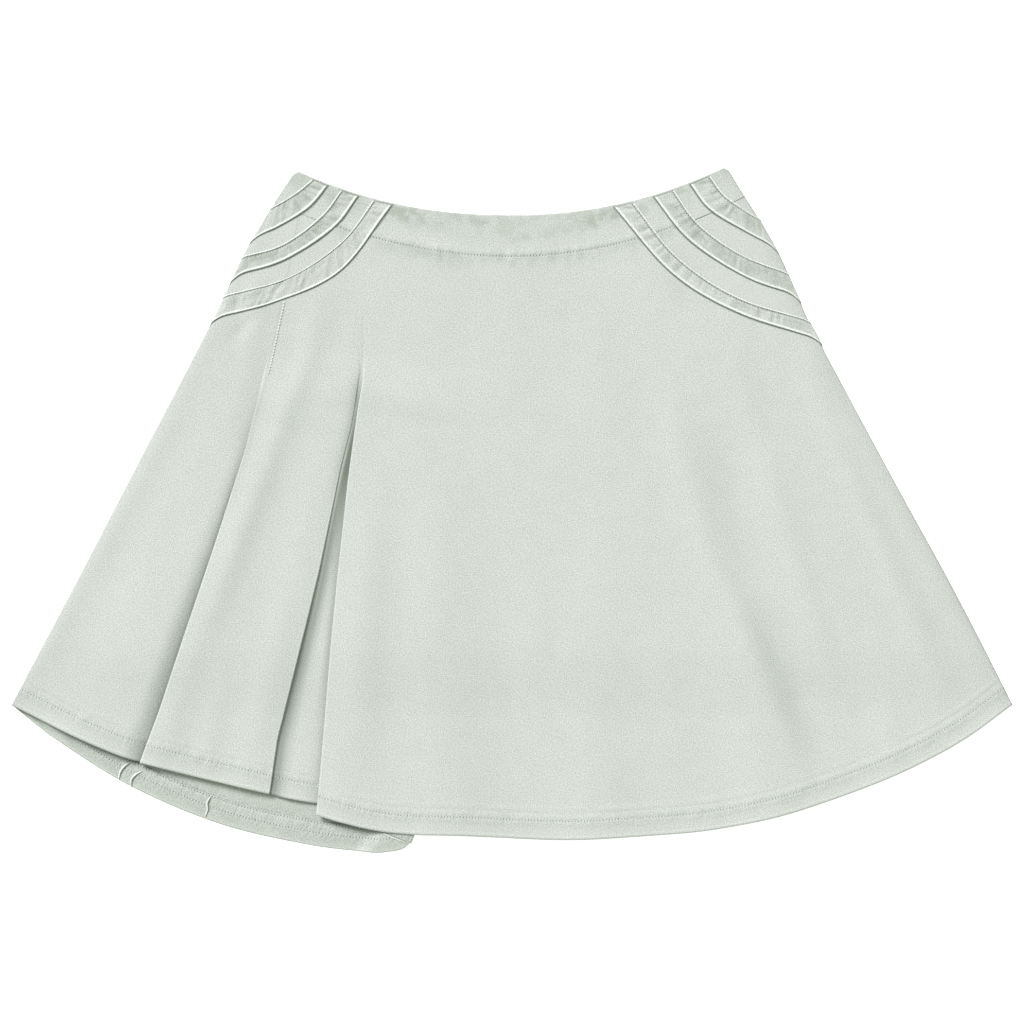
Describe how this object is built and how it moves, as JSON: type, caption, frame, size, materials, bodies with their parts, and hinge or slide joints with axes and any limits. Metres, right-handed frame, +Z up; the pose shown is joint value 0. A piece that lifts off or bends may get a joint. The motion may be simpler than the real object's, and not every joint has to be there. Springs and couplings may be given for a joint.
{
  "type": "skort",
  "caption": "Short flared skort in pale washed cotton twill, laid flat face up: a pleated skirt front and back with a waistband and slanting stitched hip bands, over plain built-in shorts.",
  "frame": {"origin": "under the middle of the bounding box, on the surface the garment lies on", "axes": "+X to the right of the garment as seen from above, +Y towards the waist, +Z up off the surface"},
  "size_m": [0.7566, 0.5176, 0.0094],
  "materials": {
    "face_twill": "matte washed twill",
    "inside_twill": "matte washed twill, wrong side",
    "band_twill": "matte washed twill with worn ridges",
    "shorts_cloth": "matte"
  },
  "bodies": {
    "root": {"front_panel": "face_twill", "back_panel": "inside_twill", "front_waistband": "face_twill", "back_waistband": "inside_twill", "hip_band_left_1": "band_twill", "hip_band_left_2": "band_twill", "hip_band_left_3": "band_twill", "hip_band_right_1": "band_twill", "hip_band_right_2": "band_twill", "hip_band_right_3": "band_twill", "shorts_back_left": "shorts_cloth", "shorts_back_right": "shorts_cloth", "shorts_front_left": "shorts_cloth", "shorts_front_right": "shorts_cloth"}
  },
  "joints": []
}
